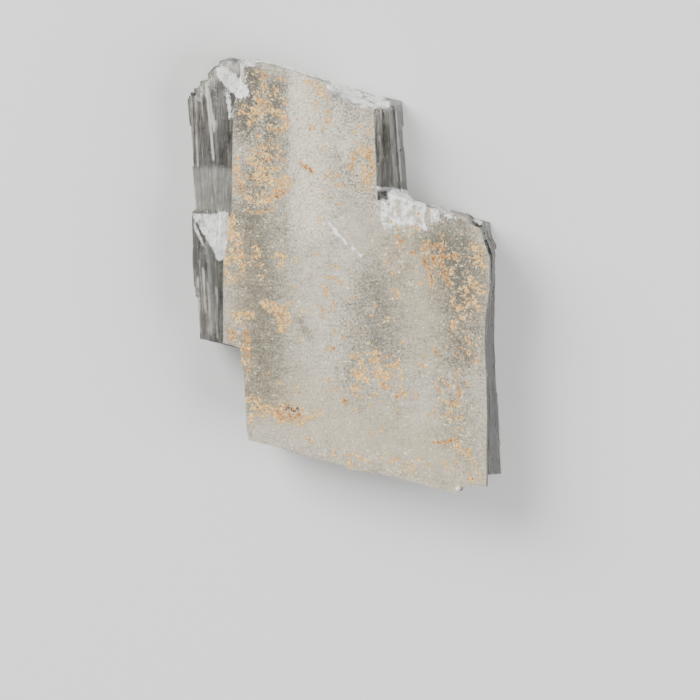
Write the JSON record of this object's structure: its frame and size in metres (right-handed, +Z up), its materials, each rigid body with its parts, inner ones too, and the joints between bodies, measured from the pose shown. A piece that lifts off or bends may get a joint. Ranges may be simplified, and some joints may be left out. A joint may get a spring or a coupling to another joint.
{
  "type": "optical calcite",
  "caption": "Clear calcite cleavage plate in the shape of two offset rhombs, with stepped leaning sides, a frosted iron-stained front face and a flat back to rest on.",
  "frame": {"origin": "the middle of the plate's outline, on the surface that the plate lies on", "axes": "+Z up out of the weathered front face, +Y along the plate's length to its head, +X to its right"},
  "size_m": [0.0503, 0.0698, 0.01],
  "materials": {
    "clear_calcite": "see-through crystal, glossy on its fresh cleavage sides, frosted and stained with iron on its weathered front"
  },
  "bodies": {
    "root": {"calcite": "clear_calcite"}
  },
  "joints": []
}
